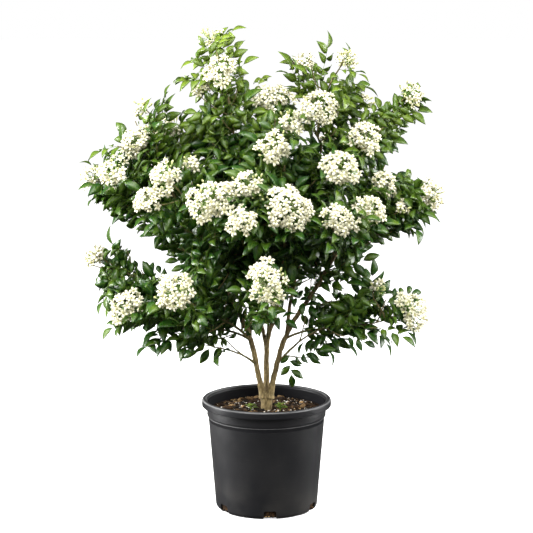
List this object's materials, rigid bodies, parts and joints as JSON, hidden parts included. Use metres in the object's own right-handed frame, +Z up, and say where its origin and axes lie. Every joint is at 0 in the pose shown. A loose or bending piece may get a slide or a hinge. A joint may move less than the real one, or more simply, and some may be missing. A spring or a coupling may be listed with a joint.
{
  "type": "potted orange jasmine shrub",
  "caption": "Flowering orange jasmine shrub with slender stems, glossy divided leaves and domed white flower heads, growing in a round black nursery pot.",
  "frame": {"origin": "centre of the pot's underside, on the surface it stands on", "axes": "+Z up along the pot's axis; +X to the right and +Y to the back as seen from the front, where the fullest heads of flower look"},
  "size_m": [0.7632, 0.57, 1.0209],
  "materials": {
    "pot_plastic": "satin black moulded plastic",
    "soil": "loose dark bark-based potting mix with pale chips",
    "bark": "matt olive-brown bark",
    "foliage": "glossy deep green leaves, lighter when young",
    "sprout": "soft fresh green",
    "petal": "matt waxy creamy white petals"
  },
  "bodies": {
    "root": {"branch_left_1": "foliage", "branch_left_2": "foliage", "branch_left_3": "foliage", "branch_left_4": "foliage", "branch_left_5": "foliage", "branch_left_inner_1": "foliage", "branch_left_inner_2": "foliage", "branch_left_inner_3": "foliage", "branch_middle_1": "foliage", "branch_middle_2": "foliage", "branch_middle_3": "foliage", "branch_middle_back_1": "foliage", "branch_right_1": "foliage", "branch_right_2": "foliage", "branch_right_3": "foliage", "branch_right_4": "foliage", "branch_right_inner_1": "foliage", "branch_right_inner_2": "foliage", "branch_right_inner_3": "foliage", "flowers_left_1_1": "petal", "flowers_left_1_2": "petal", "flowers_left_1_3": "petal", "flowers_left_2_1": "petal", "flowers_left_2_2": "petal", "flowers_left_3_1": "petal", "flowers_left_3_2": "petal", "flowers_left_4_1": "petal", "flowers_left_inner_1_1": "petal", "flowers_left_inner_1_2": "petal", "flowers_left_inner_2_1": "petal", "flowers_left_inner_3_1": "petal", "flowers_middle_1_1": "petal", "flowers_middle_2_1": "petal", "flowers_middle_2_2": "petal", "flowers_middle_3_1": "petal", "flowers_middle_3_2": "petal", "flowers_middle_back_1_1": "petal", "flowers_right_1_1": "petal", "flowers_right_2_1": "petal", "flowers_right_2_2": "petal", "flowers_right_3_1": "petal", "flowers_right_3_2": "petal", "flowers_right_inner_1_1": "petal", "flowers_right_inner_1_2": "petal", "flowers_right_inner_2_1": "petal", "flowers_right_inner_2_2": "petal", "flowers_right_inner_2_3": "petal", "flowers_right_inner_3_1": "petal", "flowers_right_inner_3_2": "petal", "pot": "pot_plastic", "potting_soil": "soil", "root_crown": "bark", "seedling_left": "sprout", "seedling_right": "sprout", "stem_left": "bark", "stem_left_inner": "bark", "stem_middle": "bark", "stem_middle_back": "bark", "stem_right": "bark", "stem_right_inner": "bark"}
  },
  "joints": []
}
